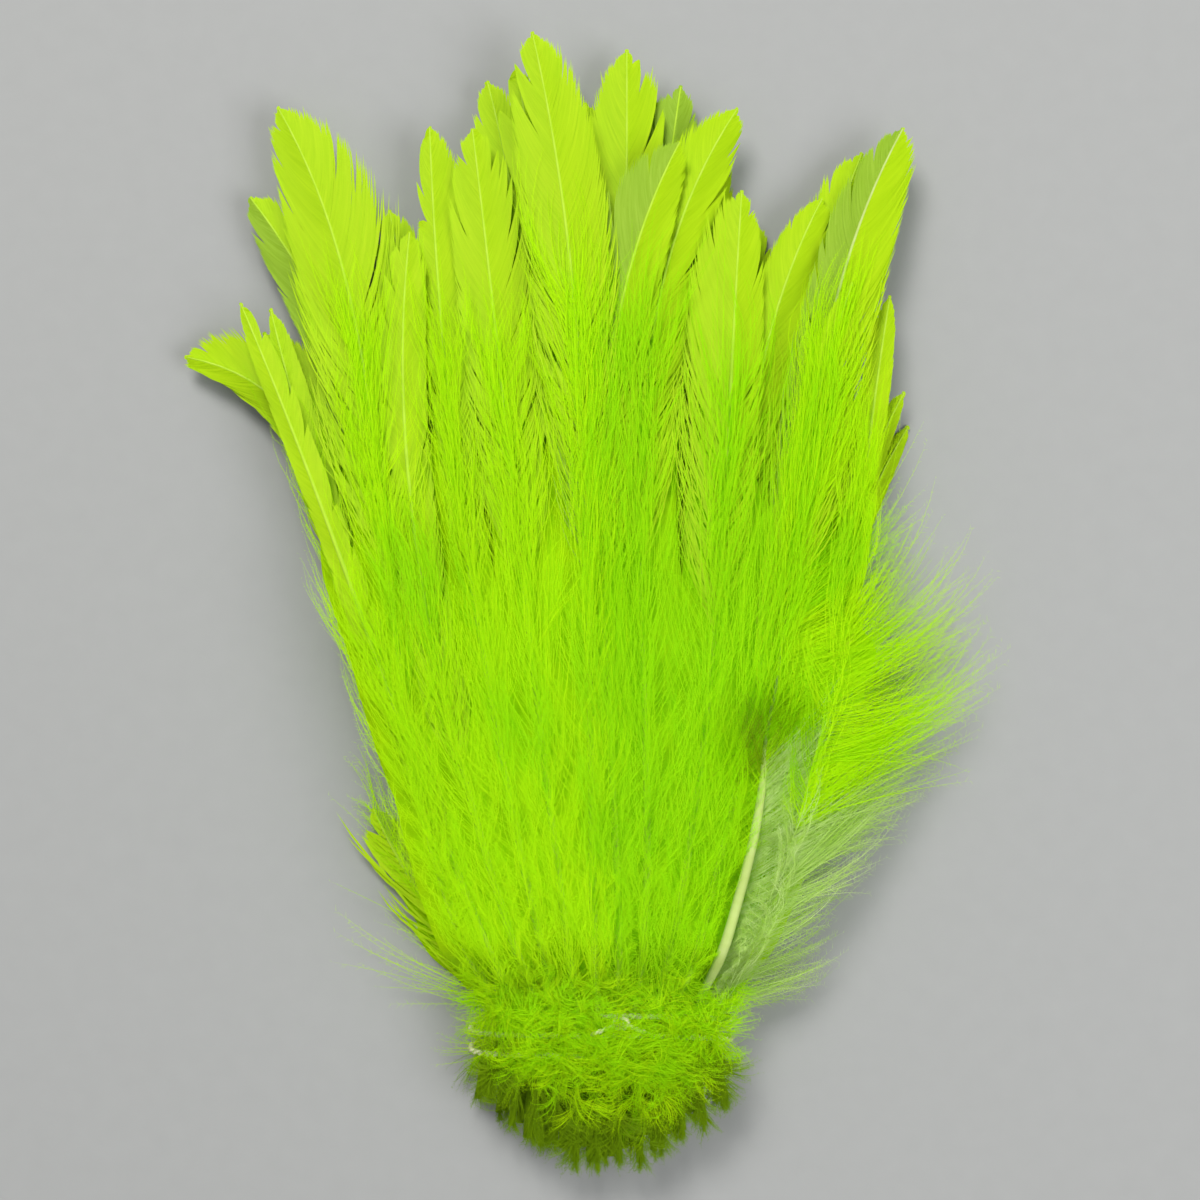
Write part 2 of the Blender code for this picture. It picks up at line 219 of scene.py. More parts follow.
# Its lowest barbs are loose
LOOSE_BELOW, LOOSE_SHARE = 4.0, 0.5
LOOSE_SPREAD_DEG, LOOSE_TURN_DEG, LOOSE_REACH_SPREAD, LOOSE_LENGTH_SPREAD = 8.0, (8.0, 4.0), 0.08, 0.25
LOOSE_LIFT, LOOSE_ARCH, LOOSE_THINNING, LOOSE_ROLL = 0.8, 0.7, 0.5, 3.0
# Lowest points of anything, of the vane's barbs and of the down
LOWEST, VANE_LOWEST, DOWN_LOWEST = 0.02, 0.03, 0.1
# Barbs of the down: where they begin and end, and their angles, lengths and curves
DOWN_BELOW, DOWN_BEYOND = 1.0, 18.0
# Shares of the down's full reach, and where it narrows to the vane's foot
DOWN_LEAST, DOWN_END_SHARE, SKIRT_SHARE, DOWN_NARROWS = 0.62, 0.8, 0.5, 0.75
DOWN_ANGLES_DEG = (26.0, 2.0)
DOWN_ANGLE_LIMITS_DEG = (15.0, 80.0)
DOWN_LENGTH_SPREAD, LONGEST_DOWN_BARB = (0.55, 1.1), 34.0
LOW_DOWN_TURN_DEG = (24.0, 16.0)
LOW_DOWN_FROM, LOW_DOWN_TO, LOW_DOWN_SHORTER = 18.0, 52.0, 0.3
# Down that reaches this far is wide: it turns out more, is denser by the row's factor, and is looser
WIDE_FROM, WIDE_TO = 10.0, 15.0
WIDE_DENSER = (4.5, 4.5, 2.1)
WIDE_SPREAD, WIDE_LOOSER, WIDE_HAIR = 1.6, 0.7, 0.5
OUTER_DROOP, INNER_DROOP = 0.5, 0.12
WIDE_DOWN_TURN_DEG = (22.0, 44.0)
DOWN_BARB_WIDTH, DOWN_TAPER, DOWN_ROLL_DEG = 0.10, 0.75, 12.0
# A share of the barbs crosses the shaft
CROSSING_SHARE, CROSSING_LENGTHS = 0.45, (11.0, 20.0)
CROSSING_FIRST_DEG, CROSSING_LAST_DEG = (6.0, 30.0), (-6.0, 22.0)
TUFT_TURN_DEG, BARB_TURN_DEG = 10.0, 7.0
TUFT_SWING, BARB_SWING, SWING_TURN = 2.0, 0.35, 3.5
BARB_LIFT_SPREAD, ROOT_RISE, DOWN_ARCH = 0.15, 0.9, (0.25, 0.68)
# Beside a bare quill the down lies low: by a share of its lift on the right, by this lift on the left
BARE_RIGHT_SHARE, BARE_LEFT_LIFT = 0.3, -1.0
# Barbules: lengths low and high on the feather, where on a barb they grow, and how they vary
BARBULE_LENGTHS, BARBULES_SHORTEN_FROM = (1.25, 0.6), 30.0
BARBULE_WIDTH, BARBULE_ANGLE_DEG = 0.042, 50.0
BARBULE_PLACES, BEFORE_END = (0.08, 0.985), 0.999
BARBULE_SPREAD, BARBULE_SHORTER, BARBULE_FLATNESS = (0.55, 1.15), 0.45, 0.3
# Fine hairs take the light as one soft surface, which leans a little the way that they point
VANE_LEAN, DOWN_LEAN, CUFF_LEAN = 0.3, 0.4, 0.55
# The down of the top row lies in one surface, as high as this rank, from this share of each barb on,
# and the feathers' own middles and shafts lie under it
SURFACE_RANK, SURFACE_SHARE, SUNK_RANK, SHAFT_DEPTH = 10.4, 0.7, 9.2, 0.9
SUNK_FROM, SUNK_FULL, SUNK_LESS, SUNK_TO = -52.0, -42.0, 10.0, 44.0
# Hollows that sink into the down: x, y, radius and depth
HOLLOWS = (
    (24.4, -19.4, 5.6, 6.4),
    (8.0, 1.0, 6.0, 1.5),
    (10.5, -14.0, 5.0, 1.2),
    (17.0, -42.0, 6.0, 1.6),
    (-24.0, 3.0, 7.0, 1.6),
    (-9.0, -18.0, 6.0, 1.2),
    (1.5, -34.0, 5.0, 1.0),
    (33.0, 6.0, 6.0, 1.2),
)
# A barb's point that tells whether it lies in a hollow, and the depths from which it gets painted
# shade: first the deeper green, then the dark shaded down
HOLLOW_POINT, HOLLOW_SHADE_FROM, HOLLOW_DARK_SHADE_FROM = 4, 0.6, 4.2
# Next to the tie the outer down is thin
SPARSE_TO, SPARSE_SHARE = 20.0, 0.45
# The soft ground that shows between the barbs of the down, narrow at its foot and at its end
GROUND_STEPS, GROUND_SIDES, GROUND_SHARE = 60, 7, 0.66
GROUND_REACHES, GROUND_WIDENS = (3.6, 7.0), (30.0, 80.0)
GROUND_FROM, GROUND_FOOT, GROUND_FOOT_SHARE, GROUND_NARROWS = 7.0, 8.0, 0.45, 4.0
GROUND_DEPTH, GROUND_DROOP, GROUND_ROUGHNESS = 0.7, 0.9, 0.12
PALE_GROUND_DEPTH = 1.6
# Barbs grow in groups, whose ends are drawn together: most of them a little, and a few a lot
SPLIT_MM, TUFT_MM = 7.0, 4.0
GROUP_SPREAD, MOST_GROUPS = (0.35, 1.9), 400
SPLIT_PULL, FRAYED_PULL, TUFT_PULL = 0.20, 0.75, 0.35
PULL_LEAST, PULL_MORE, PULL_POWER, PULL_MOST = 0.4, 2.4, 4, 0.9
# Trimmed down: tufts that turn, curl and rise more with their distance from the cut
CUFF_BARBULES, CUFF_HAIR, CUFF_TOP, TUFT_BARBS = 16, 0.9, 8.0, 9
CUFF_LENGTH, CUFF_LENGTH_SPREAD, CUFF_CUT_LENGTH, CUFF_GROWTH = 6.4, (0.55, 1.15), 1.3, 0.9
CUFF_TURNS_DEG, CUFF_TURNS_OVER, CUFF_OUTWARD_SHARE = (14.0, 180.0), (1.0, 13.0), 0.75
CUFF_CURL_DEG, CUFF_CURL_TO = (20.0, 110.0), 6.0
CUFF_LIFTS, CUFF_LIFT_TO = ((-1.0, 0.8), (-1.0, 0.8), (0.4, 4.2)), 7.0
CUFF_END_LIFT, CUFF_END_OVER = 0.9, (2.0, 7.0)
CUFF_ROOT_SPREAD, CUFF_MARGIN, CUFF_TURN_SPREAD = 0.5, 0.1, 0.24
CUFF_BARB_SPREAD, CUFF_RISE_SPREAD, CUFF_ARCH = (0.75, 1.1), 0.3, (2.6, 1.9)
# Tufts over the string: their share, and how far below and above the tie they grow and how they rise
TIE_TUFTS, TIE_TUFTS_FROM, TIE_TUFTS_TO, TIE_TUFTS_LIFT = 0.4, -5.5, 4.5, (2.2, 4.6)
# Tufts near the cut are shaded, and a share of the others is of a deeper green
SHADED_END, DEEP_TUFTS = 7.0, 0.35
# The shaft: how high it lies on the vane, and where it sinks under the down and rises from it
STUB_STATIONS, SHAFT_STATIONS, QUILL_SIDES, QUILL_OVERLAP = 5, 44, 8, 0.5
SHAFT_LIFT, SHAFT_SINKS, SHAFT_RISES, BARE_FADE = 0.05, (8.0, 16.0), (5.0, 14.0), 8.0
# A direction that no shaft or thread points along
TUBE_UP, THREAD_UP = (0.02, 0.05, 1.0), (0.02, 1.0, 0.05)
# The string's plies, and its knot of the same thread, with each stretch's places on the map
STRING_POINTS, THREAD_STEP, PLY_LAY, PLY_SIDES = 900, 0.22, 1.9, 6
PLY_OFFSET, PLY_RADIUS = 0.46, 0.54
KNOT_LOOPS, KNOT_POINTS, KNOT_WOUND, KNOT_THREAD = 3, 60, (0.9, 0.6, 0.35), 0.85
TAIL_POINTS, TAIL_THREAD = 12, 0.8
COIL_MAP, KNOT_MAP, TAIL_MAP = (0.0, 0.8), (0.8, 0.9), (0.9, 0.99)
# Dyed materials: darkest and lightest colour, how fine the pattern is along the map, its contrast,
# roughness and the share of light that goes through. A number tells each one's place on a mesh.
DYES = (
    ("shaft", (0.46, 0.76, 0.02), (0.60, 0.84, 0.08), (60, 8, 1), 0.3, 0.4, 0.1),
    ("vane", (0.47, 0.75, 0.003), (0.58, 0.84, 0.010), (420, 3, 1), 0.25, 0.5, 0.3),
    ("down", (0.47, 0.87, 0.0), (0.62, 0.96, 0.001), (50, 2, 1), 0.25, 0.7, 0.35),
    ("underside_with_shade", (0.33, 0.55, 0.025), (0.44, 0.67, 0.055), (420, 3, 1), 0.25, 0.5, 0.3),
    ("white_down", (0.36, 0.64, 0.02), (0.70, 0.88, 0.34), (200, 3, 1), 0.16, 0.7, 0.35),
    ("cuff_down", (0.44, 0.84, 0.0), (0.66, 0.97, 0.002), (90, 3, 1), 0.2, 0.7, 0.35),
    ("deep_down_and_shade", (0.36, 0.80, 0.0), (0.52, 0.92, 0.001), (50, 2, 1), 0.25, 0.7, 0.35),
    ("pale_shaft", (0.50, 0.66, 0.14), (0.64, 0.78, 0.28), (60, 8, 1), 0.3, 0.4, 0.1),
    ("shaded_down", (0.16, 0.30, 0.002), (0.30, 0.50, 0.003), (90, 3, 1), 0.2, 0.7, 0.3),
)
COTTON = ("cotton", (0.62, 0.62, 0.30), (0.88, 0.88, 0.66), (300, 40, 1), 0.3, 0.85, 0.0)
NUMBERS = {dye[0]: number for number, dye in enumerate(DYES)}
# The map: its margin, the bands of the barbs on both sides and of the shaft, and a barb's size on it
UV_NAME = "OFBake"
MAP_MARGIN, MAP_SIDES, MAP_SHAFT = 0.01, {-1: (0.06, 0.5), 1: (0.54, 0.98)}, (0.002, 0.03)
MAP_EDGE, MAP_HAIR = 0.0006, 0.004
# The pattern of the materials, and how weakly they shine
PATTERN_DETAIL, SPECULAR = 3.0, 0.1
FLOOR_SIZE, PAPER_ROUGHNESS, PAPER_GRAIN = 3.0, 0.9, 900.0
PAPER_DARK, PAPER_LIGHT = (0.365, 0.370, 0.362, 1.0), (0.385, 0.390, 0.382, 1.0)
# Soft lights in metres and watts: name, place, target, side, power and colour
LIGHTS = (
    ("key", (-0.22, 0.62, 0.82), (0, 0, 0), 0.42, 8.7, (1.0, 0.99, 0.97)),
    ("fill", (0.50, -0.20, 0.6), (0.16, -0.04, 0), 0.5, 3.2, (0.97, 0.98, 1.0)),
)
SKY_COLOUR, SKY_STRENGTH = (0.97, 0.98, 1.0, 1.0), 0.34
# The camera's view and place in metres, and its lens and sensor in millimetres
VIEW_WIDTH, VIEW_RIGHT, VIEW_HEIGHT = 0.170, 0.0014, 0.006
LENS, SENSOR = 85.0, 36.0


def mix(a, b, share):
    """The value that lies a share of the way from a to b."""
    return a + (b - a) * share


def smooth(low, high, value):
    """0 below low, 1 above high, and a smooth step between."""
    share = np.clip((value - low) / (high - low), 0.0, 1.0)
    return share * share * (3 - 2 * share)


def heading(degrees):
    """A unit vector in plan: 0 looks along +Y, and positive turns to the right."""
    return np.array((math.sin(math.radians(degrees)), math.cos(math.radians(degrees))))


def unit(vectors):
    """The same directions with length 1."""
    return vectors / np.maximum(np.linalg.norm(vectors, axis=-1, keepdims=True), 1e-9)


def tie_height(row):
    """Height of a row's quill axes where the string crosses them."""
    return STRING_DIAMETER + 2 * GAP + QUILL_RADIUS + row * ROW_RISE


def height(rank, places):
    """Height of a feather's mid-surface at plan points."""
    x, y = places[..., 0], places[..., 1]
    row = rank // len(ORDER)
    pitch = mix(BODY_PITCH, TIP_PITCH, smooth(TIPS_FROM, TIPS_TO, y))
    thinning = 1 - EDGE_THINNING * np.minimum(1.0, np.abs(x - TIE_X) / EDGE_X) ** 2
    pile = FLOOR_LIFT + rank * pitch * thinning
    above = mix(tie_height(row), pile, smooth(RISE_START, RISE_END, y - TIE_Y))
    lowered = smooth(STRING_SPREAD / 2, STUB_LONGEST, TIE_Y - y)
    below = mix(tie_height(row), STUB_LIFT + row * STUB_RISE, lowered)
    return np.where(y < TIE_Y, below, above)


def hollows(plan):
    """How far the down sinks at plan points, and how steeply it does along both axes."""
    depth, slope = np.zeros(plan.shape[:-1]), np.zeros_like(plan)
    for x, y, radius, deep in HOLLOWS:
        away = plan - np.array((x, y))
        sunk = deep * np.exp(-(away**2).sum(-1) / radius**2)
        depth += sunk
        slope += (2 / radius**2) * sunk[..., None] * away
    return depth, slope


class Feather:
    """A feather's shaft and outline, worked out from its row of the table."""

    def __init__(self, name, row, column, shape):
        self.name = name
        self.row = row
        self.on_top = row == len(ROWS) - 1
        self.plain_down = NUMBERS["deep_down_and_shade" if name in DEEP_DOWN else "down"]
        self.rank = row * len(ORDER) + ORDER[column % len(ORDER)]
        tip_x, tip_y, tip_deg, left, right, down_left, down_right = shape
        self.keys = {side: (ROWS[row][0], side * (column + 1)) for side in (-1, 1)}
        self.widths = {-1: WIDER_VANES.get(self.keys[-1], left), 1: WIDER_VANES.get(self.keys[1], right)}
        self.reaches = {-1: FLUFF.get(self.keys[-1], down_left), 1: FLUFF.get(self.keys[1], down_right)}
        half_row = (COLUMNS - 1) / 2
        from_middle = (column - half_row) / half_row
        self.outward = int(from_middle) if abs(from_middle) == 1 else 0
        held_x = TIE_X + from_middle * half_row * COLUMN_PITCH + (row - 1) * ROW_SHIFT
        held = np.array((held_x, TIE_Y))
        self.stub = STUB_LONGEST - STUB_ROUNDING * from_middle**2 - STUB_STEP * ((column + row) % len(ROWS))
        cut = np.array((TIE_X + (held_x - TIE_X) * STUB_FLARE, TIE_Y - self.stub))
        start = held + np.array((0.0, HELD))
        tip = np.array((tip_x, tip_y))
        chord = np.linalg.norm(tip - start)
        leave, arrive = heading(FAN_DEG * from_middle) * chord, heading(tip_deg) * chord
        u = np.linspace(0, 1, SHAFT_POINTS)[:, None]
        curve = start * (2 * u**3 - 3 * u**2 + 1) + leave * (u**3 - 2 * u**2 + u)
        curve = curve + tip * (3 * u**2 - 2 * u**3) + arrive * (u**3 - u**2)
        self.points = np.vstack((cut, held, curve))
        run = np.cumsum(np.linalg.norm(np.diff(self.points, axis=0, prepend=self.points[:1]), axis=1))
        self.distances = run - run[1]
        self.length = self.distances[-1]
        self.directions = unit(np.gradient(self.points[1:], axis=0))
        self.down_start = min(DOWN_START, DOWN_START_SHARE * self.length)
        down_share = LOW_VANES.get(name, DOWN_SHARE)
        self.down_end = min(down_share * self.length, self.length - SHORTEST_VANE * (left + right))

    def at(self, distance):
        """Plan points and directions of the shaft at distances from the tie."""
        place = [np.interp(distance, self.distances, self.points[:, k]) for k in range(2)]
        turn = [np.interp(distance, self.distances[1:], self.directions[:, k]) for k in range(2)]
        return np.stack(place, -1), unit(np.stack(turn, -1))

    def level(self, plan):
        """Height of the feather's mid-surface at plan points, sunk where the down covers it."""
        y = plan[..., 1]
        sunk = smooth(SUNK_FROM, SUNK_FULL, y) * (1 - smooth(SUNK_LESS, SUNK_TO, y))
        settled = SUNK_RANK if self.on_top else self.rank
        return height(mix(self.rank, settled, sunk), plan) - hollows(plan)[0]

    def radius(self, distance):
        """The shaft's radius at distances from the tie."""
        above = mix(QUILL_RADIUS, TIP_RADIUS, np.clip(distance / self.length, 0, 1))
        below = QUILL_RADIUS * mix(1, STUB_TAPER, np.clip(-distance / self.stub, 0, 1))
        return np.where(distance < 0, below, above)

    def vane_share(self, distance):
        """The vane's half-width at distances from the tie, as a share of its widest."""
        width = (self.widths[-1] + self.widths[1]) * TIP_STRETCH.get(self.name, 1.0)
        low, high = self.down_end, self.length - VANE_END[0][0] * width
        stations = [low, mix(low, high, 0.5)] + [self.length - widths * width for widths, _ in VANE_END]
        shares = [VANE_FOOT_SHARE, 1.0] + [share for _, share in VANE_END]
        return np.interp(distance, stations, shares)

    def down_reach(self, side, distance):
        """How far the down stands out sideways at distances from the tie."""
        reach = self.reaches[side]
        share = np.clip((distance - self.down_start) / (self.down_end - self.down_start), 0, 1)
        grown = reach * mix(DOWN_LEAST, 1.0, np.sin(math.pi * share))
        vane_foot = self.widths[side] * VANE_FOOT_SHARE
        if reach < WIDE_FROM:
            vane_foot = max(vane_foot, DOWN_END_SHARE * reach)
        grown = mix(grown, vane_foot, smooth(DOWN_NARROWS, 1.0, share))
        foot = SKIRT_REACH if side == self.outward else SKIRT_SHARE * reach
        return mix(foot, grown, smooth(SKIRT_START, self.down_start, distance))


class Mesh:
    """Triangles gathered for one piece, each with a material and a place on the piece's map."""

    def __init__(self):
        self.points, self.maps, self.normals, self.triangles, self.materials = [], [], [], [], []
        self.count = 0

    def add(self, points, maps, triangles, material, normals=None):
        """Adds points (n, 3), their map places (n, 2) and triangles (m, 3) that index them.

        Without shading directions (n, 3) of their own the points take those of their triangles.
        """
        if normals is None:
            normals = np.zeros_like(points)
        else:
            a, b, c = (points[triangles[:, k]] for k in range(3))
            faces_down = np.cross(b - a, c - a)[:, 2] < 0
            triangles = np.where(faces_down[:, None], triangles[:, ::-1], triangles)
        self.normals.append(normals)
        self.points.append(points)
        self.maps.append(maps)
        self.triangles.append(triangles + self.count)
        self.materials.append(np.broadcast_to(material, len(triangles)).astype(np.int32))
        self.count += len(points)

    def ribbons(self, paths, across, half_widths, u, v, material, normals=None):
        """Adds one tapered ribbon along each path (m, k + 1, 3), pointed at its end."""
        amount, stations = paths.shape[:2]
        wide = across[:, :-1] * half_widths[:, :-1, None]
        points = np.concatenate((paths[:, :-1] - wide, paths[:, :-1] + wide, paths[:, -1:]), axis=1)
        k = stations - 1
        edges = np.concatenate((np.full(k, -MAP_EDGE), np.full(k, MAP_EDGE), (0.0,)))
        place_u = u[:, None] + edges
        place_v = np.concatenate((v[:, :-1], v[:, :-1], v[:, -1:]), 1)
        i = np.arange(k - 1)
        lower = np.stack((i, k + i, k + i + 1), 1)
        upper = np.stack((i, k + i + 1, i + 1), 1)
        one = np.concatenate((lower, upper, [(k - 1, 2 * k - 1, 2 * k)]))
        triangles = one[None] + (np.arange(amount) * (2 * k + 1))[:, None, None]
        maps = np.stack((place_u, place_v), -1).reshape(-1, 2)
        if normals is not None:
            normals = np.concatenate((normals[:, :-1], normals[:, :-1], normals[:, -1:]), axis=1)
            normals = normals.reshape(-1, 3)
        points = points.reshape(-1, 3)
        self.add(points, maps, triangles.reshape(-1, 3), np.repeat(material, len(one)), normals)

    def barbules(self, paths, amount, lengths, u, v, random, material, normals):
        """Adds fine hairs along each path, on all sides of it, leaning towards its end."""
        barbs, stations = paths.shape[:2]
        t = np.linspace(*BARBULE_PLACES, amount)[None]
        t = t + random.uniform(-0.5, 0.5, (barbs, amount)) / amount
        t = np.clip(t, 0, BEFORE_END) * (stations - 1)
        low = t.astype(int)
        share = (t - low)[..., None]
        rows = np.arange(barbs)[:, None]
        root = mix(paths[rows, low], paths[rows, low + 1], share)
        ahead = unit(paths[rows, low + 1] - paths[rows, low])
        side = random.normal(size=root.shape)
        side[..., 2] *= BARBULE_FLATNESS
        side = unit(side - ahead * (side * ahead).sum(-1, keepdims=True))
        lean = math.radians(BARBULE_ANGLE_DEG)
        grown = lengths[:, None] * random.uniform(*BARBULE_SPREAD, (barbs, amount))
        grown = grown * (1 - BARBULE_SHORTER * t / (stations - 1))
        tip = root + (ahead * math.cos(lean) + side * math.sin(lean)) * grown[..., None]
        half = ahead * (BARBULE_WIDTH / 2 / math.sin(lean))
        points = np.stack((root - half, root + half, tip), axis=2)
        along = mix(v[rows, low], v[rows, low + 1], share[..., 0])
        edges = np.array((-MAP_EDGE, MAP_EDGE, 0.0))
        place_u = np.broadcast_to(u[:, None, None] + edges, (barbs, amount, 3))
        place_v = along[..., None] + np.array((0.0, 0.0, MAP_HAIR))
        maps = np.stack((place_u, place_v), -1).reshape(-1, 2)
        triangles = np.arange(barbs * amount * 3).reshape(-1, 3)
        normals = np.repeat(normals[rows, low].reshape(-1, 3), 3, axis=0)
        self.add(points.reshape(-1, 3), maps, triangles, np.repeat(material, amount), normals)

    def tube(self, path, radii, sides, u, material):
        """Adds a round tube along one path, closed at both ends."""
        ahead = unit(np.gradient(path, axis=0))
        across = unit(np.cross(ahead, np.array(TUBE_UP)))
        rise = np.cross(across, ahead)
        turns = 2 * math.pi * np.arange(sides) / sides
        out = across[:, None] * np.cos(turns)[None, :, None] + rise[:, None] * np.sin(turns)[None, :, None]
        points = (path[:, None] + out * radii[:, None, None]).reshape(-1, 3)
        rings = len(path)
        i, j = np.meshgrid(np.arange(rings - 1), np.arange(sides), indexing="ij")
        a, b = (i * sides + j).ravel(), (i * sides + (j + 1) % sides).ravel()
        sheet = np.concatenate((np.stack((a, b, b + sides), 1), np.stack((a, b + sides, a + sides), 1)))
        fan = np.arange(1, sides - 1)
        start = np.stack((np.zeros_like(fan), fan + 1, fan), 1)
        end = np.stack((np.zeros_like(fan), fan, fan + 1), 1) + (rings - 1) * sides
        place_v = np.tile(MAP_SHAFT[0] + MAP_SHAFT[1] * np.arange(sides) / sides, rings)
        maps = np.stack((np.repeat(u, sides), place_v), -1)
        self.add(points, maps, np.concatenate((sheet, start, end)), material)

    def object(self, name, materials, shift):
        """Makes the Blender object of all that was gathered."""
        points = np.concatenate(self.points)
        points[:, 2] = np.maximum(points[:, 2], LOWEST)
        points = (points * MM + shift).astype(np.float32)
        triangles = np.concatenate(self.triangles).astype(np.int32)
        maps = np.concatenate(self.maps).astype(np.float32)
        data = bpy.data.meshes.new(name)
        data.vertices.add(len(points))
        data.vertices.foreach_set("co", points.ravel())
        data.loops.add(triangles.size)
        data.loops.foreach_set("vertex_index", triangles.ravel())
        data.polygons.add(len(triangles))
        data.polygons.foreach_set("loop_start", np.arange(len(triangles), dtype=np.int32) * 3)
        data.polygons.foreach_set("material_index", np.concatenate(self.materials))
        layer = data.uv_layers.new(name=UV_NAME)
        layer.data.foreach_set("uv", maps[triangles.ravel()].ravel())
        for material in materials:
            data.materials.append(material)
        data.update()
        data.validate()
        data.shade_smooth()
        data.normals_split_custom_set_from_vertices(np.concatenate(self.normals).tolist())
        made = bpy.data.objects.new(name, data)
        bpy.context.scene.collection.objects.link(made)
        return made


def rightward(ahead):
    """Plan directions turned a quarter to the right."""
    return np.stack((ahead[:, 1], -ahead[:, 0]), -1)


def swept(feather, roots, side, lengths, first_deg, last_deg, steps):
    """Plan paths of barbs that leave the shaft at one angle and curve to another, and their offsets."""
    place, ahead = feather.at(roots)
    across = rightward(ahead) * side
    t = (np.arange(steps) + 0.5) / steps
    angle = np.radians(mix(first_deg[:, None], last_deg[:, None], t[None]))
    forward = np.pad(np.cumsum(np.cos(angle), 1), ((0, 0), (1, 0))) * lengths[:, None] / steps
    outward = np.pad(np.cumsum(np.sin(angle), 1), ((0, 0), (1, 0))) * lengths[:, None] / steps
    paths = place[:, None] + ahead[:, None] * forward[..., None] + across[:, None] * outward[..., None]
    return paths, outward


def grouped(roots, size, random):
    """Numbers barbs by the group they grow in, of a size along the shaft that varies."""
    widths = random.uniform(*GROUP_SPREAD, MOST_GROUPS) * size
    return np.searchsorted(np.cumsum(widths), roots - roots.min())


def drawn_together(paths, groups, pull, random):
    """Draws the ends of each group's barbs together, which opens splits between the groups."""
    ends = paths[:, -1]
    count = np.maximum(np.bincount(groups), 1)
    middle = np.stack([np.bincount(groups, ends[:, k]) / count for k in range(2)], -1)[groups]
    strength = pull * (PULL_LEAST + PULL_MORE * random.uniform(size=len(count)) ** PULL_POWER)[groups]
    t = np.linspace(0, 1, paths.shape[1]) ** 2
    return paths + (middle - ends)[:, None] * (t * np.minimum(strength, PULL_MOST)[:, None])[..., None]


def sideways(paths, roll_deg):
    """For each point of each path, the direction of a ribbon's width, rolled out of the plan."""
    ahead = unit(np.gradient(paths, axis=1))
    flat = unit(np.stack((ahead[..., 1], -ahead[..., 0], np.zeros(ahead.shape[:2])), -1))
    up = np.cross(flat, ahead)
    roll = np.radians(roll_deg)[..., None]
    return flat * np.cos(roll) + up * np.sin(roll)


def soft_normals(paths, lean):
    """Shading directions of fine hairs: up, and leaning the way that each hair points."""
    ahead = unit(np.gradient(paths, axis=1)) * lean
    flat = ahead[..., :2] - hollows(paths[..., :2])[1]
    return unit(np.concatenate((flat, np.ones_like(flat[..., :1])), -1))


def raised(plan, z, lowest):
    """Plan points at their heights, and none of them below the lowest."""
    return np.concatenate((plan, np.maximum(z, lowest)[..., None]), -1)


def along_map(feather, roots):
    """Places on the map's first axis, from the stub's cut end to the tip."""
    return MAP_MARGIN + (1 - 2 * MAP_MARGIN) * (roots + feather.stub) / (feather.length + feather.stub)


def across_map(side, amount, steps):
    """Places on the map's second axis, from the shaft to the barbs' ends."""
    return np.repeat(mix(*MAP_SIDES[side], np.linspace(0, 1, steps + 1))[None], amount, 0)


